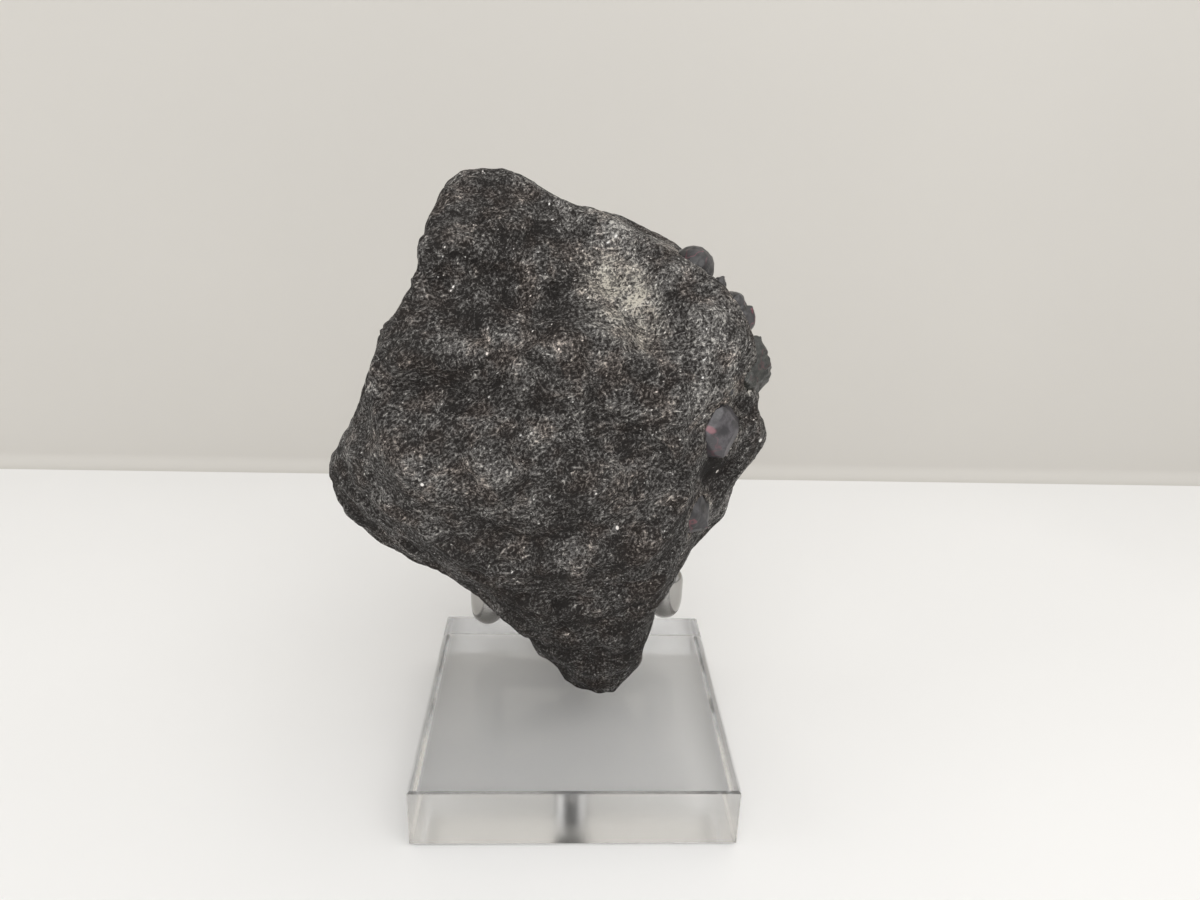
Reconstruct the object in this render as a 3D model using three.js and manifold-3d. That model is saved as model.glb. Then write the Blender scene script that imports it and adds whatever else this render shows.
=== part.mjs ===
// Garnet crystals in a piece of mica schist, standing on a clear block in a steel cradle.
// Millimetres. +Z is up, -Y is the front, and the origin is the middle of the block's underside.
import * as THREE from 'three';
import { ConvexGeometry } from 'three/addons/geometries/ConvexGeometry.js';
import { mergeVertices } from 'three/addons/utils/BufferGeometryUtils.js';
import Module from 'manifold-3d';

const wasm = await Module();
wasm.setup();

// Stand
const GAP = 0.3;                     // clearance between touching pieces
const BLOCK_SIDE = 75;
const BLOCK_HEIGHT = 15;
const BLOCK_CHAMFER = 0.5;
const ROD_RADIUS = 4.35;             // post and yoke are cut from one rod
const ROD_SIDES = 16;
const YOKE_STEPS = 32;
const POST_Y = 27.5;                 // the post stands on the middle line, near the back
const POST_HOLE_DEPTH = 12;
const HOLE_OVERSHOOT = 1;            // the cutting cylinder stands this far above the block
const BEND_RADIUS = 5.5;             // centre line of every bend in the yoke
const BEND_TURNS = 6;                // points round each bend
const YOKE_FLAT = 9;                 // half the stretch of yoke that is welded to the post
const LEFT_FINGER = { x: -23.8, y: 16.5, low: 27.8, top: 40.7 };
const RIGHT_FINGER = { x: 25, y: 17, low: 29.9, top: 43.4 };

// Rock: its widest section lies on a plane that leans back as it rises
const TIP_Y = -2.3;
const LEAN = 0.09;
const CENTRE_Z = 82;
const ROCK_CENTRE = new THREE.Vector3(-6, TIP_Y + LEAN * (CENTRE_Z - BLOCK_HEIGHT), CENTRE_Z);
const HALF_WIDTH = 58;
const HALF_DEPTH = 30;
const HALF_RISE = 66;
const FORM_DETAIL = 14;              // each face of the starting icosahedron is split 15 ways
const CRISPNESS = 22;                // how sharply the broken faces meet
const RIM_ROUNDING = 1.6;
const WORN_SPREAD = THREE.MathUtils.degToRad(4.5);
const WORN_FROM = 0.05;              // how far a direction leaves the outline's plane, as a sine,
const WORN_FULLY = 0.35;             // before the notches start to wear away, and until they have
const RIM_CALM = 0.3;                // share of the uneven surface that is kept at the outline
const LEAST_FLAT = 0.05;             // keeps the outline's walls finite straight ahead
const WELD = 1e-4;                   // vertices closer than this are one

// Outline of the widest section, x and z, clockwise from the top of the knob
const RIM = [
  [-28.7, 144.8], [-24.7, 145.4], [-17, 145.2], [-12.2, 142.7], [-4.4, 138.9], [0.6, 138.4],
  [10, 135], [13.8, 132.6], [25.3, 127], [31, 122.2], [35.6, 118.2], [37.2, 114.5],
  [37.8, 111.4], [40.2, 108.2], [42, 103.4], [41.8, 99.3], [39.6, 95.5], [43, 90.6],
  [46, 85.2], [42.8, 80.4], [39, 78.1], [38.6, 71.7], [37.2, 66], [34.4, 62.8],
  [30.8, 58.7], [23.6, 53.4], [18.2, 43.8], [19.4, 37.3], [16.2, 29.4], [17.6, 25.3],
  [12.4, 19.4], [8.8, 15.8], [4.1, 14.1], [-1.8, 17.6], [-5.7, 24.8], [-9.3, 26.8],
  [-11.4, 32.6], [-17.8, 40.6], [-22.6, 43.8], [-31, 48.6], [-43.4, 52.4], [-50.6, 58.4],
  [-56, 64.9], [-58.4, 71.4], [-59.2, 75.2], [-57.8, 81], [-52.8, 87.7], [-49.8, 94],
  [-45.4, 104.5], [-47, 109.6], [-42.8, 112.8], [-38.6, 117], [-35, 121.8], [-35.4, 125.4],
  [-35.2, 131.3], [-33.7, 135.6], [-31.4, 141.6],
];

// Broken faces: the way each one looks, and a point that it passes through
const FACES = [
  { out: [-0.04, -0.99, 0.12], through: [-6, -22, 82] },
  { out: [0.1, -0.82, 0.56], through: [0, -20, 104] },
  { out: [0, -0.97, -0.23], through: [0, -20.5, 60] },
  { out: [0.64, -0.77, 0], through: [30, -14, 80] },
  { out: [-0.66, -0.75, 0.05], through: [-47, -13, 85] },
  { out: [-0.45, -0.7, -0.52], through: [-32, -2, 46] },
  { out: [0.72, -0.62, -0.32], through: [25, -10, 56] },
  { out: [-0.2, -0.9, 0.38], through: [-28, -11, 130] },
  { out: [-0.1, 0.02, 1], through: [-22, 8, 152] },
  { out: [0.05, 0.98, -0.15], through: [-6, 32, 80] },
  { out: [0.1, 0.82, 0.56], through: [0, 21, 134] },
  { out: [0, 0.85, -0.53], through: [0, 4, 16] },
  { out: [0.7, 0.7, 0.1], through: [42, 20, 90] },
  { out: [-0.72, 0.69, 0], through: [-55, 18, 80] },
];

// Swellings (lift above 0) and hollows (below 0): place across the face, half sizes along and
// across, turn in degrees from level, and lift in millimetres. The first list is on the front.
const FRONT_RELIEF = [
  { at: [-27, 134], half: [9, 9], turn: 10, lift: 5 },
  { at: [-19, 139], half: [10, 3.5], turn: -30, lift: 3 },
  { at: [-30, 125], half: [8, 4], turn: 10, lift: -3.6 },
  { at: [-14, 122], half: [11, 4.5], turn: -14, lift: -3.8 },
  { at: [-8, 130], half: [13, 3], turn: -42, lift: 2.6 },
  { at: [-24, 111], half: [13, 3.6], turn: 4, lift: 3 },
  { at: [2, 111], half: [13, 4], turn: -6, lift: 2.8 },
  { at: [11, 119], half: [9, 5], turn: -35, lift: -2 },
  { at: [-42, 108], half: [9, 3], turn: 24, lift: 2.4 },
  { at: [-36, 101], half: [10, 4], turn: 14, lift: -2.6 },
  { at: [-8, 96], half: [24, 4], turn: -18, lift: -1.8 },
  { at: [-10, 84], half: [22, 7], turn: -14, lift: 2.4 },
  { at: [-42, 85], half: [12, 6], turn: -6, lift: 2.8 },
  { at: [-26, 73], half: [18, 3], turn: -12, lift: -1.8 },
  { at: [13, 92], half: [11, 3.5], turn: -34, lift: -2.2 },
  { at: [23, 103], half: [3.5, 12], turn: -10, lift: 3.4 },
  { at: [23, 82], half: [3.2, 13], turn: 6, lift: 3 },
  { at: [30, 81], half: [5, 4.5], turn: 0, lift: -4.4 },
  { at: [33, 68], half: [4, 6], turn: 12, lift: -2.8 },
  { at: [36, 97], half: [3, 7], turn: 0, lift: -2.4 },
  { at: [4, 66], half: [17, 2.6], turn: 10, lift: 2 },
  { at: [-26, 62], half: [14, 3], turn: -22, lift: 2 },
  { at: [-4, 54], half: [14, 3], turn: -16, lift: -1.8 },
  { at: [14, 38], half: [3, 13], turn: 18, lift: 2 },
  { at: [0, 36], half: [10, 3.4], turn: -40, lift: -1.6 },
];
const BACK_RELIEF = [
  { at: [-24, 118], half: [16, 8], turn: -25, lift: 3.6 },
  { at: [12, 104], half: [18, 4], turn: -20, lift: -2.8 },
  { at: [-2, 92], half: [26, 7], turn: -15, lift: 2.4 },
  { at: [-34, 84], half: [12, 4], turn: 20, lift: -2.6 },
  { at: [20, 74], half: [12, 9], turn: 30, lift: 2.8 },
  { at: [-12, 62], half: [18, 3.5], turn: -10, lift: -2.4 },
  { at: [4, 44], half: [9, 8], turn: 0, lift: 2 },
  { at: [30, 118], half: [7, 6], turn: 0, lift: -2 },
];
const RELIEF_FULL = 0.6;             // how squarely a place has to face front or back for full relief
const FRONT_PUSH = new THREE.Vector3(0, -1, 0.2).normalize();
const BACK_PUSH = new THREE.Vector3(0, 1, 0.1).normalize();

// Uneven surface: size of the lumps and how far they stand proud
const LUMPS = [
  { size: 19, lift: 1.7 },
  { size: 9, lift: 1.1 },
];
// The sheets of mica run nearly parallel to the front, and their broken ends make low steps
const SHEET_NORMAL = new THREE.Vector3(-0.1, -0.93, 0.34).normalize();
const SHEET_SPACING = 7.5;
const SHEET_STEP = 0.6;              // 0 is smooth, 1 has level treads
const SHEET_WANDER = 2.5;
const SHEET_WANDER_SIZE = 28;

// Garnets. Crystals grown together share a name and are one piece. Each has its middle, the
// distance from there to its faces, its turn in degrees about x, y and z, and a stretch along z.
const GARNETS = {
  garnet_dome: [{ middle: [25, 6.6, 125.2], radius: 5, worn: true, stretch: 1 }],
  garnet_edge_small: [{ middle: [31, 4.6, 122], radius: 1.6, turn: [0, 30, 10], stretch: 1 }],
  garnet_edge_pair: [
    { middle: [33.6, 1.4, 117.6], radius: 3.2, turn: [40, 15, 0], stretch: 1 },
    { middle: [36, 1.2, 114.6], radius: 3.1, turn: [10, 35, 20], stretch: 1.05 },
  ],
  garnet_coated: [{ middle: [37.1, 0, 103.8], radius: 5.9, turn: [12, 25, 5], stretch: 1.15 }],
  garnet_small: [{ middle: [31.8, -8.2, 101.2], radius: 1.9, turn: [30, 0, 45], stretch: 1.1 }],
  garnet_large: [{ middle: [29, -8.4, 92], radius: 6.1, turn: [38, 12, 20], stretch: 1.05 }],
  garnet_lower: [{ middle: [24.9, -10, 72], radius: 4.9, turn: [15, 20, 50], stretch: 1 }],
  garnet_side_upper: [{ middle: [37.8, 12.4, 94], radius: 5.2, turn: [25, 40, 0], stretch: 1 }],
  garnet_side_lower: [{ middle: [34.4, 13.6, 70], radius: 4, turn: [0, 20, 35], stretch: 1 }],
  garnet_back: [{ middle: [13, 28.7, 96], radius: 5.4, turn: [35, 0, 15], stretch: 1 }],
};

const part = new THREE.Group();

function material(color, roughness, metalness) {
  return new THREE.MeshStandardMaterial({ color, roughness, metalness });
}

function addPiece(name, solid, finish) {
  const mesh = new THREE.Mesh(geometryOf(solid), finish);
  mesh.name = name;
  part.add(mesh);
}

function solidOf(geometry) {
  const bare = geometry.clone();
  bare.deleteAttribute('normal');
  bare.deleteAttribute('uv');
  const merged = mergeVertices(bare, WELD);
  return new wasm.Manifold(new wasm.Mesh({
    numProp: 3,
    vertProperties: new Float32Array(merged.attributes.position.array),
    triVerts: new Uint32Array(merged.index.array),
  }));
}

function geometryOf(solid) {
  const mesh = solid.getMesh();
  const geometry = new THREE.BufferGeometry();
  geometry.setAttribute('position', new THREE.BufferAttribute(mesh.vertProperties, 3));
  geometry.setIndex(new THREE.BufferAttribute(mesh.triVerts, 1));
  geometry.computeVertexNormals();
  return geometry;
}

// Smooth random number from -1 to 1 at a point, the same each time
function latticeValue(i, j, k) {
  let mixed = Math.imul(i, 374761393) + Math.imul(j, 668265263) + Math.imul(k, 2147483629);
  mixed = Math.imul(mixed ^ (mixed >>> 13), 1274126177);
  return ((mixed ^ (mixed >>> 16)) >>> 0) / 2147483647.5 - 1;
}

function ease(t) {
  return t * t * (3 - 2 * t);
}

function noise(point, size) {
  const cell = [point.x / size, point.y / size, point.z / size];
  const low = cell.map(Math.floor);
  const share = cell.map((value, axis) => ease(value - low[axis]));
  let total = 0;
  for (let corner = 0; corner < 8; corner++) {
    const step = [corner & 1, (corner >> 1) & 1, (corner >> 2) & 1];
    const weight = step.reduce((w, s, axis) => w * (s ? share[axis] : 1 - share[axis]), 1);
    total += weight * latticeValue(low[0] + step[0], low[1] + step[1], low[2] + step[2]);
  }
  return total;
}

// Rock
const rimRight = new THREE.Vector3(1, 0, 0);
const rimUp = new THREE.Vector3(0, LEAN, 1).normalize();
const faces = FACES.map(({ out, through }) => {
  const normal = new THREE.Vector3(...out).normalize();
  return { normal, distance: new THREE.Vector3(...through).sub(ROCK_CENTRE).dot(normal) };
});

// Distance from the rock's centre to the outline, in a direction on the leaning plane
function rimDistance(angle) {
  const cos = Math.cos(angle);
  const sin = Math.sin(angle);
  const corners = RIM.map(([x, z]) => {
    return [x - ROCK_CENTRE.x, (z - ROCK_CENTRE.z) * Math.hypot(1, LEAN)];
  });
  let reach = 0;
  corners.forEach(([ax, az], i) => {
    const [bx, bz] = corners[(i + 1) % corners.length];
    const sideA = ax * sin - az * cos;
    const sideB = bx * sin - bz * cos;
    if (sideA * sideB > 0) return;
    const share = sideA / (sideA - sideB);
    reach = Math.max(reach, (ax + share * (bx - ax)) * cos + (az + share * (bz - az)) * sin);
  });
  return reach;
}

// The same with the notches worn away, for the walls in front of and behind the outline
function wornRimDistance(angle) {
  let total = 0;
  for (let i = -2; i <= 2; i++) total += rimDistance(angle + i * WORN_SPREAD);
  return total / 5;
}

// Distance from the rock's centre to its surface: the outline walls cut by the broken faces
function rockReach(direction) {
  const across = direction.dot(rimRight);
  const up = direction.dot(rimUp);
  const flat = Math.max(Math.hypot(across, up), LEAST_FLAT);
  const angle = Math.atan2(up, across);
  const worn = THREE.MathUtils.smoothstep(Math.sqrt(1 - flat * flat), WORN_FROM, WORN_FULLY);
  const wall = THREE.MathUtils.lerp(rimDistance(angle), wornRimDistance(angle), worn);
  const toRim = wall / flat;
  let sum = 0;
  for (const face of faces) {
    sum += Math.pow(Math.max(face.normal.dot(direction), 0) / face.distance, CRISPNESS);
  }
  const toFace = Math.pow(sum, -1 / CRISPNESS);
  const blend = Math.log1p(Math.exp(-Math.abs(toRim - toFace) / RIM_ROUNDING));
  return Math.min(toRim, toFace) - RIM_ROUNDING * blend;
}

function reliefAt(point, relief) {
  let lift = 0;
  for (const spot of relief) {
    const angle = THREE.MathUtils.degToRad(spot.turn);
    const dx = point.x - spot.at[0];
    const dz = point.z - spot.at[1];
    const along = (dx * Math.cos(angle) + dz * Math.sin(angle)) / spot.half[0];
    const across = (dz * Math.cos(angle) - dx * Math.sin(angle)) / spot.half[1];
    lift += spot.lift * Math.exp(-(along * along + across * across));
  }
  return lift;
}

// Shift along the sheets' normal that turns an even slope into treads and risers
function sheetShift(point) {
  const wander = SHEET_WANDER * noise(point, SHEET_WANDER_SIZE);
  const turn = 2 * Math.PI * (point.dot(SHEET_NORMAL) + wander) / SHEET_SPACING;
  return -SHEET_STEP * SHEET_SPACING * Math.sin(turn) / (2 * Math.PI);
}

function rockPoint(direction) {
  const point = direction.clone().multiplyScalar(rockReach(direction)).add(ROCK_CENTRE);
  const facing = -direction.y * HALF_WIDTH / HALF_DEPTH;
  const front = THREE.MathUtils.smoothstep(facing, -0.1, RELIEF_FULL);
  const back = THREE.MathUtils.smoothstep(-facing, 0, RELIEF_FULL);
  const start = point.clone();
  point.addScaledVector(FRONT_PUSH, front * reliefAt(start, FRONT_RELIEF));
  point.addScaledVector(BACK_PUSH, back * reliefAt(start, BACK_RELIEF));
  let uneven = 0;
  for (const lump of LUMPS) uneven += lump.lift * noise(start, lump.size);
  const offRim = THREE.MathUtils.smoothstep(Math.abs(facing), 0, 0.5);
  point.addScaledVector(SHEET_NORMAL, offRim * sheetShift(start));
  return point.addScaledVector(direction, uneven * (RIM_CALM + (1 - RIM_CALM) * offRim));
}

function rockGeometry() {
  const form = new THREE.IcosahedronGeometry(1, FORM_DETAIL);
  form.deleteAttribute('normal');
  form.deleteAttribute('uv');
  const geometry = mergeVertices(form, WELD);
  const place = geometry.attributes.position;
  const scale = new THREE.Vector3(HALF_WIDTH, HALF_DEPTH, HALF_RISE);
  for (let i = 0; i < place.count; i++) {
    const direction = new THREE.Vector3().fromBufferAttribute(place, i);
    direction.multiply(scale).normalize();
    const point = rockPoint(direction);
    place.setXYZ(i, point.x, point.y, point.z);
  }
  return geometry;
}

// A garnet: rhombic dodecahedron whose edges are cut by the faces of a trapezohedron
function garnetNormals() {
  const normals = [];
  for (const a of [-1, 1]) {
    for (const b of [-1, 1]) {
      normals.push([a, b, 0], [a, 0, b], [0, a, b]);
      for (const c of [-1, 1]) normals.push([2 * a, b, c], [a, 2 * b, c], [a, b, 2 * c]);
    }
  }
  return normals.map((n) => new THREE.Vector3(...n));
}

const BEVEL_REACH = 1.06;            // distance of the trapezohedron's faces to the others'
const WORN_DETAIL = 2;               // each face of a worn, rounded crystal is split 3 ways

function garnetGeometry(radius) {
  const planes = garnetNormals().map((n) => {
    const bevel = Math.max(Math.abs(n.x), Math.abs(n.y), Math.abs(n.z)) > 1;
    return { normal: n.normalize(), distance: radius * (bevel ? BEVEL_REACH : 1) };
  });
  const corners = [];
  for (let i = 0; i < planes.length; i++) {
    for (let j = i + 1; j < planes.length; j++) {
      for (let k = j + 1; k < planes.length; k++) {
        const corner = meetingPoint(planes[i], planes[j], planes[k]);
        if (!corner) continue;
        const inside = planes.every((p) => p.normal.dot(corner) < p.distance + WELD);
        if (inside && !corners.some((c) => c.distanceTo(corner) < 0.01)) corners.push(corner);
      }
    }
  }
  return new ConvexGeometry(corners);
}

function meetingPoint(a, b, c) {
  const matrix = new THREE.Matrix3().set(
    a.normal.x, a.normal.y, a.normal.z,
    b.normal.x, b.normal.y, b.normal.z,
    c.normal.x, c.normal.y, c.normal.z,
  );
  if (Math.abs(matrix.determinant()) < 0.01) return null;
  return new THREE.Vector3(a.distance, b.distance, c.distance).applyMatrix3(matrix.invert());
}

function crystalSolid(crystal, extra) {
  const reach = crystal.radius + extra;
  const geometry = crystal.worn ? new THREE.IcosahedronGeometry(reach, WORN_DETAIL) : garnetGeometry(reach);
  const turn = (crystal.turn ?? [0, 0, 0]).map(THREE.MathUtils.degToRad);
  geometry.applyMatrix4(new THREE.Matrix4().makeRotationFromEuler(new THREE.Euler(...turn)));
  geometry.scale(1, 1, crystal.stretch);
  return solidOf(geometry.translate(...crystal.middle));
}

function garnetSolid(crystals, extra) {
  return crystals.map((crystal) => crystalSolid(crystal, extra)).reduce((a, b) => a.add(b));
}

// Stand
function blockSolid() {
  const half = BLOCK_SIDE / 2 - BLOCK_CHAMFER;
  const square = new THREE.Shape([
    new THREE.Vector2(-half, -half),
    new THREE.Vector2(half, -half),
    new THREE.Vector2(half, half),
    new THREE.Vector2(-half, half),
  ]);
  const slab = new THREE.ExtrudeGeometry(square, {
    depth: BLOCK_HEIGHT - 2 * BLOCK_CHAMFER,
    bevelThickness: BLOCK_CHAMFER,
    bevelSize: BLOCK_CHAMFER,
    bevelSegments: 1,
  });
  slab.translate(0, 0, BLOCK_CHAMFER);
  const hole = new THREE.CylinderGeometry(
    ROD_RADIUS + GAP, ROD_RADIUS + GAP, POST_HOLE_DEPTH + HOLE_OVERSHOOT, 2 * ROD_SIDES);
  hole.rotateX(Math.PI / 2);
  hole.translate(0, POST_Y, BLOCK_HEIGHT + (HOLE_OVERSHOOT - POST_HOLE_DEPTH) / 2);
  return solidOf(slab).subtract(solidOf(hole));
}

// Centre line of one arm, from the middle of the yoke out and round to the top of the finger
function armPoints(finger) {
  const side = Math.sign(finger.x);
  const points = [];
  const middle = (LEFT_FINGER.low + RIGHT_FINGER.low) / 2;
  points.push(new THREE.Vector3(0, POST_Y, middle));
  points.push(new THREE.Vector3(side * YOKE_FLAT, POST_Y, (middle + finger.low) / 2));
  for (let i = 0; i <= BEND_TURNS; i++) {
    const angle = (i / BEND_TURNS) * Math.PI / 2;
    const x = Math.abs(finger.x) - BEND_RADIUS * (1 - Math.sin(angle));
    const y = POST_Y - BEND_RADIUS * (1 - Math.cos(angle));
    points.push(new THREE.Vector3(side * x, y, finger.low));
  }
  for (let i = 1; i <= BEND_TURNS; i++) {
    const angle = (i / BEND_TURNS) * Math.PI / 2;
    const y = finger.y + BEND_RADIUS * (1 - Math.sin(angle));
    const z = finger.low + BEND_RADIUS * (1 - Math.cos(angle));
    points.push(new THREE.Vector3(finger.x, y, z));
  }
  points.push(new THREE.Vector3(finger.x, finger.y, finger.top - ROD_RADIUS));
  return points;
}

function ballAt(point) {
  const ball = new THREE.SphereGeometry(ROD_RADIUS, ROD_SIDES, ROD_SIDES / 2);
  ball.rotateX(Math.PI / 2);
  return solidOf(ball.translate(point.x, point.y, point.z));
}

function cradleSolid() {
  const left = armPoints(LEFT_FINGER);
  const right = armPoints(RIGHT_FINGER);
  const line = new THREE.CatmullRomCurve3([...left.reverse(), ...right.slice(1)]);
  const round = new THREE.Shape();
  round.absarc(0, 0, ROD_RADIUS, 0, 2 * Math.PI);
  const yoke = new THREE.ExtrudeGeometry(round, {
    steps: YOKE_STEPS, curveSegments: ROD_SIDES / 2, extrudePath: line,
  });
  const foot = BLOCK_HEIGHT - POST_HOLE_DEPTH + GAP;
  const head = (LEFT_FINGER.low + RIGHT_FINGER.low) / 2;
  const post = new THREE.CylinderGeometry(ROD_RADIUS, ROD_RADIUS, head - foot, ROD_SIDES);
  post.rotateX(Math.PI / 2);
  post.translate(0, POST_Y, (head + foot) / 2);
  return solidOf(yoke)
    .add(solidOf(post))
    .add(ballAt(line.getPoint(0)))
    .add(ballAt(line.getPoint(1)));
}

const acrylic = material(0xe6e8e8, 0.05, 0);
const steel = material(0xb9b6b0, 0.15, 1);
const schist = material(0x4a4643, 0.75, 0);
const almandine = material(0x3f3a41, 0.3, 0);

addPiece('acrylic_block', blockSolid(), acrylic);
addPiece('steel_cradle', cradleSolid(), steel);

let rock = solidOf(rockGeometry());
for (const [name, crystals] of Object.entries(GARNETS)) {
  rock = rock.subtract(garnetSolid(crystals, GAP));
  addPiece(name, garnetSolid(crystals, 0), almandine);
}
addPiece('schist_matrix', rock, schist);

export default part;
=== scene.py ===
import math

import bmesh
import bpy
from mathutils import Matrix, Vector, noise
from mathutils.bvhtree import BVHTree


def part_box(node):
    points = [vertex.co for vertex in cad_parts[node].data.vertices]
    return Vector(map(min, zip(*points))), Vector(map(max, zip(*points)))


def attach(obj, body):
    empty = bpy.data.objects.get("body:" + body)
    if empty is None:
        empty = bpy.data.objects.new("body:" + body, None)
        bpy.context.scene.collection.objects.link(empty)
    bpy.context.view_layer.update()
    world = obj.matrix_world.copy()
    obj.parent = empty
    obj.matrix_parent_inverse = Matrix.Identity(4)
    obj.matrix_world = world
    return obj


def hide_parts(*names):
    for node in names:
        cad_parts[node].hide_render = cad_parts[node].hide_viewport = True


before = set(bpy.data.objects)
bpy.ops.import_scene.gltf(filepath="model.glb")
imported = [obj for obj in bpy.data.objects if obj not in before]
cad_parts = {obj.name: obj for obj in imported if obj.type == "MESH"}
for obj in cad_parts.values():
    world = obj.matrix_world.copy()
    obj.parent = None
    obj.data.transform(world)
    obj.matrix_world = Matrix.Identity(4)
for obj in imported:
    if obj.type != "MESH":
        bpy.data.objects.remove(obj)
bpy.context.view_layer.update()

MM = 0.001

# Mica sheets of the rock: the way they face, and the two directions along them
SHEET_NORMAL = Vector((-0.1, -0.93, 0.34)).normalized()
SHEET_ALONG = Vector((0.83, 0.11, 0.55)).cross(SHEET_NORMAL).cross(SHEET_NORMAL).normalized()
SHEET_ACROSS = SHEET_NORMAL.cross(SHEET_ALONG)

# Relief of the rock, in millimetres: lumps, creases, ripples along the sheets, and flaky steps
ROCK_VOXEL = 0.62
LUMP_HEIGHT = 1.0
LUMP_SIZE = 8
CREASE_DEPTH = 0.8
CREASE_SIZE = 12
CREASE_WIDTH = 0.2
CREASE_START = Vector((3, 7, 1))
RIPPLES = (
    # height, size along, across and through the sheets, and start of the pattern
    (0.8, (5, 3.2, 3), (0, 0, 0)),
    (0.22, (3.2, 1.3, 1), (0, 0, 0)),
    (0.14, (1.6, 0.9, 0.8), (9, 2, 5)),
)
BASE_LIFT = 0.05
STEP_HEIGHT = 0.42
STEP_SPACING = 3
STEP_WAVES = ((1.6, 13), (0.5, 4))
STEP_PATCH_SIZE = 17
STEP_PATCH_START = Vector((5, 5, 5))

# Share of the relief that stays on a face that cuts across the sheets
EDGE_SHARE = 0.3

# Rock near a garnet, in millimetres: how far off a garnet counts, the widths of its pale rind, of the
# smooth band and of the band that is drawn up to it, and the limits of that band's move
GARNET_REACH = 3.2
RIND_WIDTH = 2.4
SMOOTH_WIDTH = 1.5
HUG_WIDTH = 1.0
HUG_MOST = 0.7
HUG_LEAST = 0.2
HUG_PAST = 0.15

# Length in metres below which a direction can't be told
NO_LENGTH = 1e-7

# Garnets, in millimetres: the depth and size of their dents, and, as shares of those, their creases
# and grain
CRYSTAL_VOXEL = 0.22
USUAL_DENTS = (0.2, 2.0)
DENTS = {
    "garnet_dome": (0.1, 2.4),
    "garnet_coated": (0.42, 2.6),
    "garnet_large": (0.08, 2.8),
    "garnet_edge_pair": (0.26, 1.9),
}
CRYSTAL_CREASE_DEPTH = 0.8
CRYSTAL_CREASE_SIZE = 1.6
CRYSTAL_CREASE_WIDTH = 0.16
CRYSTAL_GRAIN_HEIGHT = 0.25
CRYSTAL_GRAIN_SIZE = 0.35
CRYSTAL_LOWERING = 0.1
GARNETS = [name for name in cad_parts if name.startswith("garnet_")]

# Steel cradle, in millimetres
ROD_RADIUS = 4.35
ROD_SIDES = 48
CAP_RINGS = 12
FIRST_RING = 0.3
POST_Y = 27.5
POST_FOOT = 3.3
BEND_RADIUS = 5.5
BEND_STEPS = 12
ARM_START = 9
LEFT_FINGER = {"x": -23.8, "y": 16.5, "low": 27.8, "top": 40.7}
RIGHT_FINGER = {"x": 25.0, "y": 17.0, "low": 29.9, "top": 43.4}
ARM_MIDDLE = (LEFT_FINGER["low"] + RIGHT_FINGER["low"]) / 2
SHARP_ANGLE = 35

# Patches on the front of the rock and, the blush, of the large garnet: middle and half size in
# millimetres, turn in degrees, and the shares of the half size at which it begins to fade and has gone
PATCH_HALF_DEPTH = 60
# Pale patch and its tail: paler rock, and a painted sheen of the light from above on the upper slope
PALE_SHEEN_PATCH = ((9, -8, 121.5), (13, 7), -38, 0.3, 1.25)
PALE_SHEEN_TAIL = ((12.5, -9, 114.5), (6, 2.4), -60, 0.2, 1.3)
# Painted shade in the hollow below the large garnet
PAINTED_HOLLOW_SHADE = ((30, -10, 81.5), (4.5, 3.8), 0, 0.4, 1.3)
# Painted light: paler patches on the crest, the upper slope, the right ridge and other places of the face,
# where light from above and the right falls
PAINTED_LIGHT_PATCHES = (
    # weight, then the patch
    (0.5, ((-13, -12, 111), (20, 2.6), -2, 0.2, 1.4)),
    (0.3, ((-12, -17, 104), (2.4, 6), 0, 0.2, 1.5)),
    (0.35, ((-30, -18, 84), (17, 9), -14, 0.2, 1.5)),
    (0.28, ((-6, -18, 90), (15, 10), -20, 0.1, 1.5)),
    (0.6, ((10, -10, 132), (17, 7), -26, 0.2, 1.4)),
    (0.75, ((26, -8, 108), (9, 15), 0, 0.2, 1.4)),
)
BLUSH_PATCH = ((28.2, -14, 93.6), (1.5, 0.7), -8, 0.5, 1.1)
# Painted glints: single points of mica painted bright where the light catches them
GLINT_POINT_Y = -10
PAINTED_GLINT_POINTS = (
    # x, z and radius of a painted glint: a point of mica painted bright, as if it caught the light
    (9.7, 72.4, 0.45),
    (-31.5, 83.4, 0.4),
    (32, 79.4, 0.5),
    (42, 88, 0.6),
)

# Patterns of the rock and the garnets, in millimetres: sizes along, across and through the sheets, and
# for the flakes also how far each lot is turned in the sheets, in degrees
LAYER_SIZE = (9, 5, 0.9)
CLOUD_SIZE = (14, 8, 5)
BREAK_SIZE = (7, 4, 3)
PLATE_SIZE = (0.9, 0.5, 0.5)
FLECK_SIZE = (0.8, 0.3, 0.3)
FLAKE_WIDTH = 0.45
FLAKE_TURNS_AND_LENGTHS = ((0, 4.2), (28, 2.6), (-26, 3.0), (75, 1.6))

# Size of the fine level lines on the steel, in millimetres
STEEL_LINE_SIZE = (3, 3, 0.12)

# Heights in millimetres at which the rock begins to be duller and is dullest
DULL_START, DULL_END = 72, 50

# Colours
ROCK_TONES = (
    (0.0, (0.014, 0.0122, 0.0113)), (0.22, (0.024, 0.0213, 0.0198)),
    (0.44, (0.05, 0.0462, 0.0436)), (0.7, (0.13, 0.123, 0.116)),
    (0.85, (0.25, 0.24, 0.223)), (1.0, (0.5, 0.48, 0.445)),
)
GLINT_COLOUR = (0.72, 0.71, 0.69)
GLINT_POINT_COLOUR = (0.85, 0.84, 0.82)
GOLD_TINT = (1.0, 0.96, 0.86)
RUST_TINT = (1.12, 0.93, 0.82)
CRACK_COLOUR = (0.36, 0.085, 0.12)
BLUSH_COLOUR = (0.38, 0.13, 0.16)
STEEL_TONES = ((0.3, (0.35, 0.34, 0.325)), (0.7, (0.43, 0.42, 0.405)))
ACRYLIC_TONES = ((0.3, (0.994, 0.997, 0.997)), (0.7, (0.999, 0.999, 0.999)))
TABLE_WHITE = (0.88, 0.877, 0.87)
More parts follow.
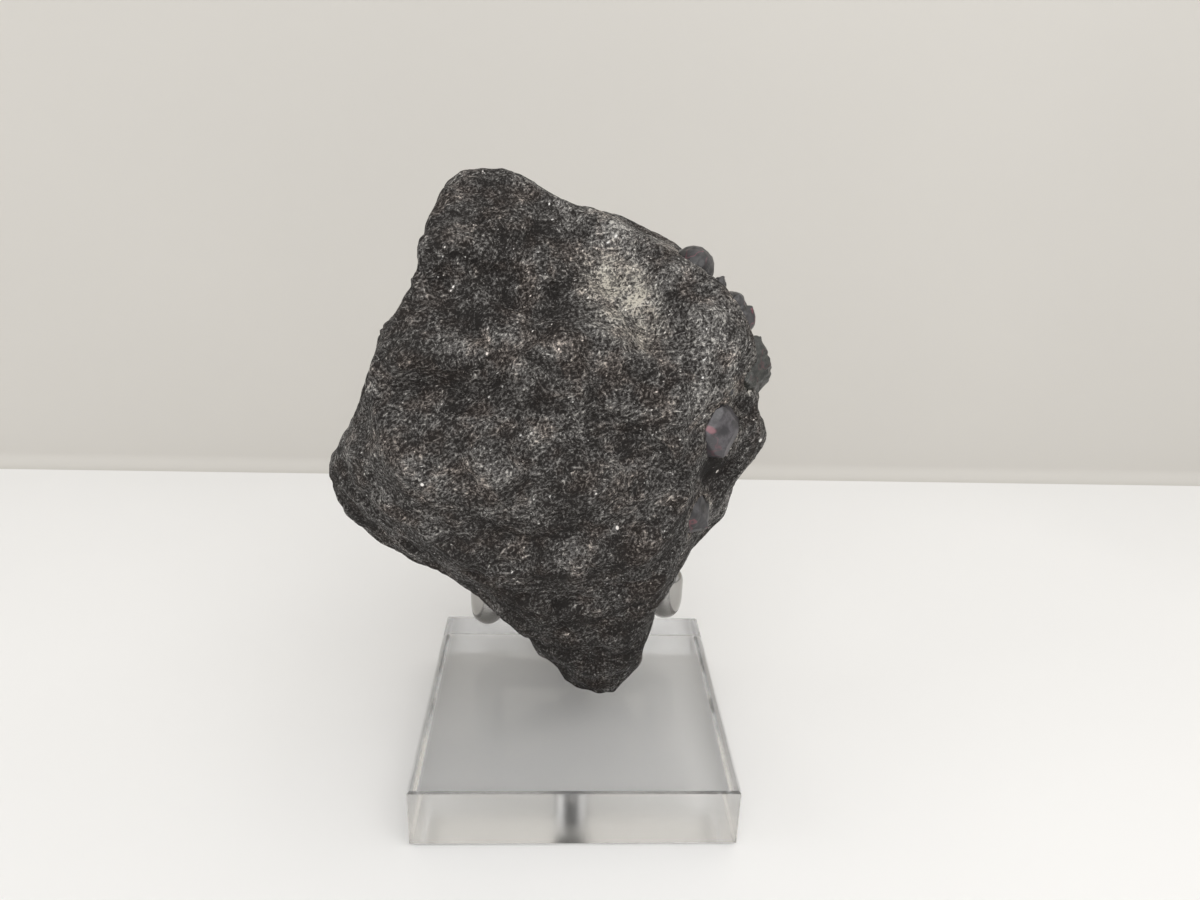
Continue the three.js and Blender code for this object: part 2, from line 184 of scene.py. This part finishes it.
WALL_GREY = (0.6, 0.58, 0.545)
SKY_COLOUR = (1.0, 0.99, 0.975, 1)
KEY_COLOUR = (1, 0.992, 0.98)
FILL_COLOUR = (1, 0.995, 0.985)

# Share of a crystal's light colour that its underside keeps, which is painted shade, and of a paint's
# colour in its dim spots
UNDERSIDE_SHADE_SHARE = 0.62
DIM_SHARE = 0.97

# How strongly clear acrylic bends light
ACRYLIC_IOR = 1.49

# Room and lamps, in metres and watts
FLOOR = -0.25 * MM
ROOM_HALF = 3
WALL_Y = 0.192
WALL_TOP = 2
WALL_BEND = 0.006
WALL_BEND_STEPS = 12
SKY_STRENGTH = 0.42
LAMPS = (
    # name, place, target, size, power, colour
    ("key", (0.15, -0.46, 0.58), (0, 0, 0.05), (0.8, 0.7), 2.9, KEY_COLOUR),
    ("back_top", (0.22, 0.1, 0.52), (0, 0, 0.08), (0.6, 0.4), 0.6, KEY_COLOUR),
    ("front_fill", (-0.15, -0.75, 0.5), (0, 0, 0.04), (0.9, 0.5), 1.9, FILL_COLOUR),
    ("left_fill", (-0.7, -0.1, 0.32), (0, 0, 0.01), (0.6, 0.5), 1.2, FILL_COLOUR),
    ("right_fill", (0.7, -0.1, 0.32), (0, 0, 0.01), (0.6, 0.5), 0.4, FILL_COLOUR),
)

# Camera: its place in millimetres, and how far it looks down, turns left and leans left, in degrees
CAMERA_PLACE = (-4.55, -199.27, 157.47)
CAMERA_PITCH = 20.4945
CAMERA_YAW = -2.6920
CAMERA_ROLL = 1.8402
LENS = 27
SENSOR_WIDTH = 36
CLIP_START = 0.01


# Shader helpers
class Shader:
    """A new material with short ways to add and join its nodes."""

    def __init__(self, name):
        self.material = bpy.data.materials.new(name)
        self.material.use_nodes = True
        self.tree = self.material.node_tree
        self.main = self.tree.nodes["Principled BSDF"]
        self.place = self.add("ShaderNodeTexCoord").outputs["Object"]

    def add(self, kind, **settings):
        node = self.tree.nodes.new(kind)
        for key, value in settings.items():
            setattr(node, key, value)
        return node

    def put(self, socket, value):
        """Link a socket to another node's, or set its own value."""
        if isinstance(value, bpy.types.NodeSocket):
            self.tree.links.new(value, socket)
        else:
            socket.default_value = value

    def math(self, operation, *values, clamp=False):
        node = self.add("ShaderNodeMath", operation=operation, use_clamp=clamp)
        for socket, value in zip(node.inputs, values):
            self.put(socket, value)
        return node.outputs[0]

    def total(self, *parts):
        """Sum of values, each times its weight."""
        result = None
        for value, weight in parts:
            share = self.math("MULTIPLY", value, weight)
            result = share if result is None else self.math("ADD", result, share)
        return result

    def vector(self, operation, *values):
        node = self.add("ShaderNodeVectorMath", operation=operation)
        for socket, value in zip(node.inputs, values):
            self.put(socket, value)
        return node.outputs["Value" if operation == "LENGTH" else "Vector"]

    def swayed(self, scale, reach):
        """Object coordinates, each shifted by a slow noise by up to half of reach in millimetres."""
        shift = self.noise(self.place, scale, detail=2, output="Color")
        shift = self.vector("SUBTRACT", shift, (0.5, 0.5, 0.5))
        node = self.add("ShaderNodeVectorMath", operation="SCALE")
        self.put(node.inputs[0], shift)
        self.put(node.inputs["Scale"], reach * MM)
        return self.vector("ADD", self.place, node.outputs["Vector"])

    def grid(self, vector, size, turn=(0, 0, 0), origin=(0, 0, 0)):
        """Coordinates counted in size, along axes turned by turn, from origin; in millimetres."""
        node = self.add("ShaderNodeMapping", vector_type="TEXTURE")
        self.put(node.inputs["Vector"], vector)
        node.inputs["Location"].default_value = [value * MM for value in origin]
        node.inputs["Rotation"].default_value = turn
        node.inputs["Scale"].default_value = [value * MM for value in size]
        return node.outputs[0]

    def noise(self, vector, scale=1.0, detail=2.0, rough=0.5, output="Fac"):
        node = self.add("ShaderNodeTexNoise", noise_dimensions="3D")
        self.put(node.inputs["Vector"], vector)
        node.inputs["Scale"].default_value = scale
        node.inputs["Detail"].default_value = detail
        node.inputs["Roughness"].default_value = rough
        return node.outputs[output]

    def spread(self, value, low, high, to_low=0.0, to_high=1.0, smooth=True):
        """The range from low to high, spread over the range from to_low to to_high."""
        node = self.add("ShaderNodeMapRange", clamp=True)
        node.interpolation_type = "SMOOTHSTEP" if smooth else "LINEAR"
        self.put(node.inputs["Value"], value)
        for key, number in (("From Min", low), ("From Max", high),
                            ("To Min", to_low), ("To Max", to_high)):
            self.put(node.inputs[key], number)
        return node.outputs[0]

    def ramp(self, value, stops):
        """Colour by value; each stop is a place between 0 and 1 and its colour."""
        node = self.add("ShaderNodeValToRGB")
        self.put(node.inputs[0], value)
        band = node.color_ramp
        while len(band.elements) < len(stops):
            band.elements.new(0.5)
        for element, (place, colour) in zip(band.elements, stops):
            element.position = place
            element.color = (*colour, 1)
        return node.outputs[0]

    def blend(self, share, first, second, kind="MIX"):
        """A colour mixed with, or multiplied by, a fixed second one."""
        node = self.add("ShaderNodeMix", data_type="RGBA", blend_type=kind)
        self.put(node.inputs[0], share)
        self.put(node.inputs[6], first)
        self.put(node.inputs[7], (*second, 1))
        return node.outputs[2]

    def patch(self, vector, centre, half, turn, inner, outer):
        """1 inside an ellipse on the front of the object, falling to 0 outside it; in millimetres."""
        size = (half[0], PATCH_HALF_DEPTH, half[1])
        local = self.grid(vector, size, (0, -math.radians(turn), 0), centre)
        return self.spread(self.vector("LENGTH", local), outer, inner)

    def bump(self, height, strength, depth, below=None):
        """A bumped normal, its depth in millimetres, over the one below it."""
        node = self.add("ShaderNodeBump")
        node.inputs["Strength"].default_value = strength
        node.inputs["Distance"].default_value = depth * MM
        self.put(node.inputs["Height"], height)
        if below is not None:
            self.put(node.inputs["Normal"], below)
        return node.outputs[0]

    def attribute(self, name):
        return self.add("ShaderNodeAttribute", attribute_name=name).outputs["Fac"]

    def upward(self, vector):
        """The part of a vector along Z."""
        node = self.add("ShaderNodeSeparateXYZ")
        self.put(node.inputs[0], vector)
        return node.outputs["Z"]


def turned(angle):
    """Euler turn of axes that lie along the mica sheets, turned in them by angle in degrees."""
    spin = Matrix.Rotation(math.radians(angle), 3, SHEET_NORMAL)
    along, across = spin @ SHEET_ALONG, spin @ SHEET_ACROSS
    return Matrix((along, across, SHEET_NORMAL)).transposed().to_euler()


# Materials
def mica_flakes(look, place):
    """Fine strands that lie along the sheets in several directions."""
    flakes = None
    for angle, length in FLAKE_TURNS_AND_LENGTHS:
        size = (length, FLAKE_WIDTH, FLAKE_WIDTH)
        grain = look.noise(look.grid(place, size, turned(angle)), detail=3, rough=0.62)
        flakes = grain if flakes is None else look.math("MAXIMUM", flakes, grain)
    return flakes


def pale_rock_and_sheen(look, place):
    """The pale patch near the top of the face, broken up, and its tail: paler rock, with a painted sheen of
    the light from above on the upper slope.
    """
    broken = look.noise(look.grid(place, BREAK_SIZE, turned(20)), detail=3, rough=0.6)
    broken = look.spread(broken, 0.36, 0.6, to_low=0.45, to_high=1.0)
    pale = look.math("MULTIPLY", look.patch(place, *PALE_SHEEN_PATCH), broken)
    tail = look.math("MULTIPLY", look.patch(place, *PALE_SHEEN_TAIL), 0.7)
    return look.math("MAXIMUM", pale, tail)


def rock_level(look, place, flakes, dust, layers, spots, rind):
    """How light the rock is: its grain, layers, clouds and patches, added up; some patches and the height
    are painted light and painted shade.
    """
    clouds = look.noise(look.grid(place, CLOUD_SIZE, turned(10)), detail=4, rough=0.62)
    painted_light = look.total(*((look.patch(place, *patch), weight) for weight, patch in PAINTED_LIGHT_PATCHES))
    dull = look.spread(look.upward(place), DULL_START * MM, DULL_END * MM)
    return look.total(
        (flakes, 0.95),
        (dust, 0.62),
        (look.math("SUBTRACT", clouds, 0.5), 0.34),
        (look.math("SUBTRACT", layers, 0.5), 0.22),
        (painted_light, 0.13),
        (spots, 0.215),
        (rind, 0.1),
        (dull, -0.02),
        (look.patch(place, *PAINTED_HOLLOW_SHADE), -0.12),
        # Painted shade in hollows and painted light on raised relief, from the height attribute
        (look.attribute("height"), 0.022))


def mica_glints(look, place, level):
    """Single small plates that catch the light, only where the rock is light."""
    plate = look.add("ShaderNodeTexVoronoi", feature="F1")
    look.put(plate.inputs["Vector"], look.grid(place, PLATE_SIZE, turned(15)))
    plate.inputs["Scale"].default_value = 1
    pick = look.add("ShaderNodeSeparateColor")
    look.put(pick.inputs[0], plate.outputs["Color"])
    chosen = look.spread(pick.outputs[0], 0.972, 0.98)
    inside = look.spread(plate.outputs["Distance"], 0.42, 0.3)
    return look.math("MULTIPLY", look.math("MULTIPLY", chosen, inside), look.spread(level, 0.84, 0.94))


def rock_colour(look, place, level, spots, rind):
    """Tone by level, then painted glints and painted glint points, then gold and rust tints."""
    colour = look.ramp(look.spread(level, 0.77, 1.085, smooth=False), ROCK_TONES)
    colour = look.blend(mica_glints(look, place, level), colour, GLINT_COLOUR)
    for x, z, radius in PAINTED_GLINT_POINTS:
        glint_point = look.patch(place, (x, GLINT_POINT_Y, z), (radius, radius), turn=0, inner=0.7, outer=1.0)
        colour = look.blend(glint_point, colour, GLINT_POINT_COLOUR)
    gold = look.math("MULTIPLY", look.math("ADD", spots, look.math("MULTIPLY", rind, 0.6)), 0.8)
    colour = look.blend(gold, colour, GOLD_TINT, "MULTIPLY")
    rust = look.spread(look.noise(place, 140, detail=3, rough=0.6), 0.45, 0.66)
    rust = look.math("MULTIPLY", rust, 0.6)
    rust = look.math("MULTIPLY", rust, look.math("SUBTRACT", 1, spots, clamp=True))
    return look.blend(rust, colour, RUST_TINT, "MULTIPLY")


def schist():
    """Dark mica schist, paler and glossier where its level is high."""
    look = Shader("mica schist")
    place = look.swayed(scale=45, reach=9)
    flakes = mica_flakes(look, place)
    dust = look.noise(look.place, 1500, detail=2, rough=0.7)
    layers = look.noise(look.grid(place, LAYER_SIZE, turned(0)), detail=3, rough=0.6)
    spots = pale_rock_and_sheen(look, place)
    rind = look.attribute("rind")
    level = rock_level(look, place, flakes, dust, layers, spots, rind)
    look.put(look.main.inputs["Base Color"], rock_colour(look, place, level, spots, rind))
    look.put(look.main.inputs["Roughness"], look.spread(level, 0.8, 1.05, to_low=0.72, to_high=0.34))
    look.put(look.main.inputs["Specular IOR Level"], look.spread(level, 0.8, 1.0, to_low=0.2, to_high=0.75))
    coarse = look.bump(layers, strength=0.6, depth=0.5)
    fine = look.bump(flakes, strength=1.0, depth=0.6, below=coarse)
    look.put(look.main.inputs["Normal"], look.bump(dust, strength=0.9, depth=0.2, below=fine))
    return look.material


def pink_cracks(look, place):
    """1 along thin cracks, which show in some places only."""
    crack = look.math("SUBTRACT", look.noise(place, 190, detail=2, rough=0.45), 0.52)
    crack = look.spread(look.math("ABSOLUTE", crack), 0.016, 0.004)
    where = look.spread(look.noise(look.place, 120, detail=2), 0.5, 0.6)
    return look.math("MULTIPLY", crack, where)


def mica_skin(look, place, skin):
    """Flecks of mica on a crystal, more of them with a higher skin."""
    flecks = look.noise(look.grid(place, FLECK_SIZE, turned(20)), detail=3)
    flecks = look.spread(flecks, 0.6 - 0.16 * skin, 0.74 - 0.1 * skin)
    edge = look.spread(look.noise(look.place, 95, detail=2), 0.62 - 0.3 * skin, 0.7 - 0.2 * skin)
    return look.math("MULTIPLY", flecks, look.math("MAXIMUM", edge, skin * 0.5))


def garnet(name, dark, light, mica, pink_share, skin, blush_share=0.0):
    """Dark glassy crystal with cloudy facets, painted shade on its downward faces, thin pink cracks and
    some mica skin.
    """
    look = Shader(name)
    place = look.swayed(scale=160, reach=2.5)
    clouds = look.noise(place, 230, detail=4, rough=0.6)
    colour = look.ramp(look.spread(clouds, 0.36, 0.66), [(0.0, dark), (0.55, light), (1.0, dark)])
    # Painted shade: faces that look down get a darker colour, as if in shade
    facing = look.upward(look.add("ShaderNodeNewGeometry").outputs["Normal"])
    underside_shade = look.spread(facing, 0.12, -0.12, to_low=0.0, to_high=0.75)
    colour = look.blend(underside_shade, colour, tuple(UNDERSIDE_SHADE_SHARE * part for part in light))
    pink = look.math("MULTIPLY", pink_cracks(look, place), pink_share)
    colour = look.blend(pink, colour, CRACK_COLOUR)
    if blush_share:
        blush = look.math("MULTIPLY", look.patch(place, *BLUSH_PATCH), blush_share)
        colour = look.blend(blush, colour, BLUSH_COLOUR)
    look.put(look.main.inputs["Base Color"], look.blend(mica_skin(look, place, skin), colour, mica))
    roughness = look.spread(clouds, 0.3, 0.7, to_low=0.24 + 0.2 * skin, to_high=0.42 + 0.2 * skin)
    look.put(look.main.inputs["Roughness"], roughness)
    look.main.inputs["Specular IOR Level"].default_value = 0.62
    rough = look.bump(clouds, strength=0.35, depth=0.25)
    grain = look.noise(look.place, 2600, detail=3, rough=0.7)
    fine = look.bump(grain, strength=0.25 + 0.3 * skin, depth=0.06, below=rough)
    look.put(look.main.inputs["Normal"], fine)
    return look.material


def steel():
    look = Shader("polished steel")
    haze = look.noise(look.place, 90, detail=3)
    lines = look.noise(look.grid(look.place, STEEL_LINE_SIZE), detail=3, rough=0.6)
    look.put(look.main.inputs["Base Color"], look.ramp(haze, STEEL_TONES))
    look.main.inputs["Metallic"].default_value = 1
    look.put(look.main.inputs["Roughness"], look.spread(haze, 0.3, 0.7, to_low=0.1, to_high=0.2))
    look.put(look.main.inputs["Normal"], look.bump(lines, strength=0.05, depth=0.02))
    return look.material


def acrylic():
    look = Shader("clear acrylic")
    haze = look.noise(look.place, 60, detail=3)
    look.put(look.main.inputs["Base Color"], look.ramp(haze, ACRYLIC_TONES))
    look.main.inputs["Transmission Weight"].default_value = 1
    look.main.inputs["IOR"].default_value = ACRYLIC_IOR
    look.put(look.main.inputs["Roughness"], look.spread(haze, 0.35, 0.7, to_low=0.12, to_high=0.15))
    ripple = look.noise(look.place, 150, detail=2)
    look.put(look.main.inputs["Normal"], look.bump(ripple, strength=0.02, depth=0.02))
    return look.material


def paint(name, colour, clear_behind=False):
    """Matt paint, which can be clear when it is seen from its back."""
    look = Shader(name)
    dim = tuple(DIM_SHARE * part for part in colour)
    tone = look.noise(look.place, 6, detail=2)
    look.put(look.main.inputs["Base Color"], look.ramp(tone, [(0.3, dim), (0.7, colour)]))
    look.main.inputs["Roughness"].default_value = 0.75
    grain = look.noise(look.place, 800, detail=2)
    look.put(look.main.inputs["Normal"], look.bump(grain, strength=0.03, depth=0.1))
    if clear_behind:
        clear = look.add("ShaderNodeBsdfTransparent")
        mix = look.add("ShaderNodeMixShader")
        look.put(mix.inputs[0], look.add("ShaderNodeNewGeometry").outputs["Backfacing"])
        look.put(mix.inputs[1], look.main.outputs[0])
        look.put(mix.inputs[2], clear.outputs[0])
        look.put(look.tree.nodes["Material Output"].inputs["Surface"], mix.outputs[0])
    return look.material


# Meshes
def new_object(name, mesh, finish):
    piece = bpy.data.objects.new(name, mesh)
    bpy.context.scene.collection.objects.link(piece)
    mesh.materials.clear()
    mesh.materials.append(finish)
    return piece


def apply_modifiers(piece, finish):
    """Give the piece the mesh that its modifiers make."""
    seen = piece.evaluated_get(bpy.context.evaluated_depsgraph_get())
    mesh = bpy.data.meshes.new_from_object(seen)
    piece.modifiers.clear()
    piece.data = mesh
    mesh.materials.clear()
    mesh.materials.append(finish)


def remeshed(name, source, voxel, finish):
    """A finely divided copy of a CAD node's mesh."""
    piece = new_object(name, source.data.copy(), finish)
    change = piece.modifiers.new("fine", "REMESH")
    change.mode = "VOXEL"
    change.voxel_size = voxel * MM
    change.use_smooth_shade = True
    apply_modifiers(piece, finish)
    return piece


def settle(piece, *nodes, slot):
    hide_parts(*nodes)
    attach(piece, "root")


def vertex_places(mesh):
    """All vertex places and normals, read before any of them moves."""
    return [v.co.copy() for v in mesh.vertices], [v.normal.copy() for v in mesh.vertices]


def put_places(mesh, places):
    mesh.vertices.foreach_set("co", [value for place in places for value in place])
    mesh.update()


def crease(point, width):
    """1 along the lines where the noise is zero, falling to 0 beside them."""
    return max(0.0, width - abs(noise.noise(point))) / width


# Rock
def rock_lift(point):
    """Height added to the rock's surface at a point, both in millimetres."""
    flat = [point.dot(axis) for axis in (SHEET_ALONG, SHEET_ACROSS, SHEET_NORMAL)]
    lift = BASE_LIFT + LUMP_HEIGHT * noise.noise(point / LUMP_SIZE)
    lift -= CREASE_DEPTH * crease(point / CREASE_SIZE + CREASE_START, CREASE_WIDTH)
    for height, size, start in RIPPLES:
        at = Vector(value / extent for value, extent in zip(flat, size)) + Vector(start)
        lift += height * noise.noise(at)
    return lift


def sheet_step(point):
    """Shift along the sheets' normal that breaks the surface into thin flaky steps."""
    depth = point.dot(SHEET_NORMAL)
    for height, size in STEP_WAVES:
        depth += height * noise.noise(point / size)
    share = (1 + noise.noise(point / STEP_PATCH_SIZE + STEP_PATCH_START)) / 2
    return -STEP_HEIGHT * share * math.sin(2 * math.pi * depth / STEP_SPACING)


def surface_of(name):
    """Search tree of a CAD node's faces."""
    shell = bmesh.new()
    shell.from_mesh(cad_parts[name].data)
    tree = BVHTree.FromBMesh(shell)
    shell.free()
    return tree


def nearest_garnet(start, surfaces):
    """Nearest point of a garnet, or None out of reach, and how far off it is in millimetres."""
    reach = GARNET_REACH * MM
    near, gap = None, reach
    for tree, (low, high) in surfaces:
        if any(start[k] < low[k] - reach or start[k] > high[k] + reach for k in range(3)):
            continue
        found, _, _, distance = tree.find_nearest(start, gap)
        if found is not None:
            near, gap = found, distance
    return near, gap / MM


def hug(start, near, gap):
    """Shift that draws the rock's surface up to a garnet close beside it."""
    toward = near - start
    if gap >= HUG_WIDTH or toward.length <= NO_LENGTH:
        return Vector((0, 0, 0))
    pull = HUG_LEAST + (HUG_MOST - HUG_LEAST) * (1 - gap / HUG_WIDTH)
    return toward.normalized() * (MM * min(pull, gap + HUG_PAST))


def make_rock():
    """The rock with its relief, kept inside the CAD node's box, and its shader's two attributes: the rind
    near garnets, and a height that paints shade into hollows and light onto raised relief.
    """
    piece = remeshed("schist_rock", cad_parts["schist_matrix"], ROCK_VOXEL, schist())
    mesh = piece.data
    low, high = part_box("schist_matrix")
    surfaces = [(surface_of(name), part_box(name)) for name in GARNETS]
    rind = mesh.attributes.new("rind", "FLOAT", "POINT")
    # Height: painted shade in the hollows and painted light on the raised relief of the rock
    height = mesh.attributes.new("height", "FLOAT", "POINT")
    places, normals = vertex_places(mesh)
    for i, (start, normal) in enumerate(zip(places, normals)):
        near, gap = nearest_garnet(start, surfaces)
        share = 1.0
        if near is not None:
            share = min(1.0, gap / SMOOTH_WIDTH)
            rind.data[i].value = max(0.0, 1 - gap / RIND_WIDTH)
        calm = EDGE_SHARE + (1 - EDGE_SHARE) * abs(normal.dot(SHEET_NORMAL))
        lift, step = rock_lift(start / MM), sheet_step(start / MM)
        height.data[i].value = share * (lift + step / 2)
        place = start + normal * (MM * share * calm * lift)
        place += SHEET_NORMAL * (MM * share * (1 + calm) / 2 * step)
        if near is not None:
            place += hug(start, near, gap)
        places[i] = Vector(min(max(place[k], low[k]), high[k]) for k in range(3))
    put_places(mesh, places)
    settle(piece, "schist_matrix", slot="mica_schist")


# Garnets
def make_crystal(name, finish, slot):
    piece = remeshed(name + "_crystal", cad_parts[name], CRYSTAL_VOXEL, finish)
    depth, size = DENTS.get(name, USUAL_DENTS)
    places, normals = vertex_places(piece.data)
    for i, (start, normal) in enumerate(zip(places, normals)):
        point = start / MM
        lift = noise.noise(point / size) - CRYSTAL_LOWERING
        lift -= CRYSTAL_CREASE_DEPTH * crease(point / (CRYSTAL_CREASE_SIZE * size), CRYSTAL_CREASE_WIDTH)
        lift += CRYSTAL_GRAIN_HEIGHT * noise.noise(point / (CRYSTAL_GRAIN_SIZE * size))
        places[i] = start + normal * (MM * depth * lift)
    put_places(piece.data, places)
    settle(piece, name, slot=slot)


def make_garnets():
    """Two garnets have a finish of their own, and the others share one."""
    finishes = {
        "garnet_large": garnet("almandine garnet", (0.024, 0.022, 0.025), (0.085, 0.078, 0.086),
                               mica=(0.2, 0.2, 0.175), pink_share=0.14, skin=0.25, blush_share=0.5),
        "garnet_coated": garnet("skinned garnet", (0.012, 0.0125, 0.011), (0.032, 0.033, 0.029),
                                mica=(0.085, 0.085, 0.074), pink_share=0.1, skin=0.7),
    }
    usual = garnet("dark garnet", (0.013, 0.012, 0.013), (0.046, 0.043, 0.046),
                   mica=(0.13, 0.125, 0.115), pink_share=0.3, skin=0.3)
    for name in GARNETS:
        slot = "coated_garnet" if name == "garnet_coated" else "almandine"
        make_crystal(name, finishes.get(name, usual), slot)


# Cradle
def quarter_turn(steps):
    """Angles from 0 to a right angle, in equal steps."""
    return [i / steps * math.pi / 2 for i in range(steps + 1)]


def arm_points(finger):
    """Middle line of one arm: along the bar, forward round a bend, and up into the finger."""
    side = math.copysign(1, finger["x"])
    points = [Vector((0, POST_Y, ARM_MIDDLE)),
              Vector((side * ARM_START, POST_Y, (ARM_MIDDLE + finger["low"]) / 2))]
    for angle in quarter_turn(BEND_STEPS):
        x = abs(finger["x"]) - BEND_RADIUS * (1 - math.sin(angle))
        y = POST_Y - BEND_RADIUS * (1 - math.cos(angle))
        points.append(Vector((side * x, y, finger["low"])))
    for angle in quarter_turn(BEND_STEPS)[1:]:
        y = finger["y"] + BEND_RADIUS * (1 - math.sin(angle))
        z = finger["low"] + BEND_RADIUS * (1 - math.cos(angle))
        points.append(Vector((finger["x"], y, z)))
    points.append(Vector((finger["x"], finger["y"], finger["top"] - ROD_RADIUS)))
    return points


def rod_mesh(line):
    """Closed round rod along a line, with ball ends."""
    shell = bmesh.new()
    aim = (line[1] - line[0]).normalized()
    up = aim.orthogonal().normalized()
    cap_angles = [math.pi / 2 * (i + FIRST_RING) / CAP_RINGS for i in range(CAP_RINGS)]
    loops = []

    def loop(middle, radius):
        across = aim.cross(up)
        turns = [2 * math.pi * k / ROD_SIDES for k in range(ROD_SIDES)]
        points = [middle + radius * (math.cos(turn) * up + math.sin(turn) * across) for turn in turns]
        loops.append([shell.verts.new(point * MM) for point in points])

    for angle in cap_angles:
        loop(line[0] - aim * ROD_RADIUS * math.cos(angle), ROD_RADIUS * math.sin(angle))
    for i, middle in enumerate(line):
        before, after = line[max(i - 1, 0)], line[min(i + 1, len(line) - 1)]
        new_aim = (after - before).normalized()
        up = (aim.rotation_difference(new_aim) @ up).normalized()
        aim = new_aim
        loop(middle, ROD_RADIUS)
    for angle in reversed(cap_angles):
        loop(line[-1] + aim * ROD_RADIUS * math.cos(angle), ROD_RADIUS * math.sin(angle))
    for first, second in zip(loops, loops[1:]):
        for k in range(ROD_SIDES):
            n = (k + 1) % ROD_SIDES
            shell.faces.new((first[k], first[n], second[n], second[k]))
    shell.faces.new(list(reversed(loops[0])))
    shell.faces.new(loops[-1])
    bmesh.ops.recalc_face_normals(shell, faces=shell.faces)
    mesh = bpy.data.meshes.new("rod")
    shell.to_mesh(mesh)
    shell.free()
    return mesh


def post_mesh():
    """Upright post from its foot in the block to the middle of the bar."""
    shell = bmesh.new()
    place = Matrix.Translation(Vector((0, POST_Y, (POST_FOOT + ARM_MIDDLE) / 2)) * MM)
    bmesh.ops.create_cone(shell, cap_ends=True, segments=ROD_SIDES, radius1=ROD_RADIUS * MM,
                          radius2=ROD_RADIUS * MM, depth=(ARM_MIDDLE - POST_FOOT) * MM, matrix=place)
    mesh = bpy.data.meshes.new("post")
    shell.to_mesh(mesh)
    shell.free()
    return mesh


def make_cradle():
    """The bent bar with its two fingers, joined to the post."""
    finish = steel()
    left, right = arm_points(LEFT_FINGER), arm_points(RIGHT_FINGER)
    yoke = new_object("cradle_rod", rod_mesh(left[::-1] + right[1:]), finish)
    post = new_object("cradle_post", post_mesh(), finish)
    join = yoke.modifiers.new("weld", "BOOLEAN")
    join.operation = "UNION"
    join.object = post
    join.solver = "EXACT"
    apply_modifiers(yoke, finish)
    bpy.data.objects.remove(post)
    for face in yoke.data.polygons:
        face.use_smooth = True
        face.material_index = 0
    yoke.data.set_sharp_from_angle(angle=math.radians(SHARP_ANGLE))
    settle(yoke, "steel_cradle", slot="polished_steel")


# Room
def make_stage(name, mesh, finish):
    """A piece of the room, which isn't part of the object."""
    piece = new_object(name, mesh, finish)


def make_table(name, near, far, finish):
    """Level sheet across the room, from near to far."""
    mesh = bpy.data.meshes.new(name)
    corners = [(-ROOM_HALF, near, FLOOR), (ROOM_HALF, near, FLOOR),
               (ROOM_HALF, far, FLOOR), (-ROOM_HALF, far, FLOOR)]
    mesh.from_pydata(corners, [], [(0, 1, 2, 3)])
    make_stage(name, mesh, finish)


def make_wall():
    """Wall that rises from the table in a small bend, and is clear from behind."""
    profile = [(WALL_Y - WALL_BEND * (1 - math.sin(angle)), FLOOR + WALL_BEND * (1 - math.cos(angle)))
               for angle in quarter_turn(WALL_BEND_STEPS)]
    profile.append((WALL_Y, WALL_TOP))
    points = [(x, y, z) for y, z in profile for x in (-ROOM_HALF, ROOM_HALF)]
    faces = [(k, k + 1, k + 3, k + 2) for k in range(0, len(points) - 2, 2)]
    mesh = bpy.data.meshes.new("wall")
    mesh.from_pydata(points, [], faces)
    make_stage("wall", mesh, paint("pale wall", WALL_GREY, clear_behind=True))


def make_room():
    table_paint = paint("white table", TABLE_WHITE)
    make_table("table", -ROOM_HALF, WALL_Y, table_paint)
    make_table("far_table", WALL_Y, ROOM_HALF, table_paint)
    make_wall()
    world = bpy.data.worlds.new("studio")
    bpy.context.scene.world = world
    world.use_nodes = True
    sky = world.node_tree.nodes["Background"]
    sky.inputs["Color"].default_value = SKY_COLOUR
    sky.inputs["Strength"].default_value = SKY_STRENGTH


def make_lamp(name, place, target, size, power, colour):
    light = bpy.data.lights.new(name, "AREA")
    light.shape = "RECTANGLE"
    light.size, light.size_y = size
    light.energy = power
    light.color = colour
    piece = bpy.data.objects.new(name, light)
    bpy.context.scene.collection.objects.link(piece)
    piece.location = place
    aim = Vector(target) - Vector(place)
    piece.rotation_euler = aim.to_track_quat("-Z", "Y").to_euler()


def camera_turn():
    """Turn of the camera from its three angles."""
    pitch, yaw, roll = (math.radians(angle) for angle in (CAMERA_PITCH, CAMERA_YAW, CAMERA_ROLL))
    sin_pitch, cos_pitch = math.sin(pitch), math.cos(pitch)
    sin_yaw, cos_yaw = math.sin(yaw), math.cos(yaw)
    sin_roll, cos_roll = math.sin(roll), math.cos(roll)
    ahead = Vector((-sin_yaw * cos_pitch, cos_yaw * cos_pitch, -sin_pitch))
    right = Vector((cos_yaw * cos_roll - sin_yaw * sin_pitch * sin_roll,
                    sin_yaw * cos_roll + cos_yaw * sin_pitch * sin_roll,
                    cos_pitch * sin_roll))
    return Matrix((right, right.cross(ahead), -ahead)).transposed().to_4x4()


def make_camera():
    view = bpy.data.cameras.new("photo_view")
    view.sensor_fit = "HORIZONTAL"
    view.sensor_width = SENSOR_WIDTH
    view.lens = LENS
    view.clip_start = CLIP_START
    camera = bpy.data.objects.new("photo_view", view)
    bpy.context.scene.collection.objects.link(camera)
    camera.matrix_world = Matrix.Translation(Vector(CAMERA_PLACE) * MM) @ camera_turn()
    bpy.context.scene.camera = camera


make_camera()
make_rock()
make_garnets()
make_cradle()
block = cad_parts["acrylic_block"]
block.material_slots[0].material = acrylic()

make_room()
for lamp in LAMPS:
    make_lamp(*lamp)
bpy.context.scene.view_settings.view_transform = "Standard"
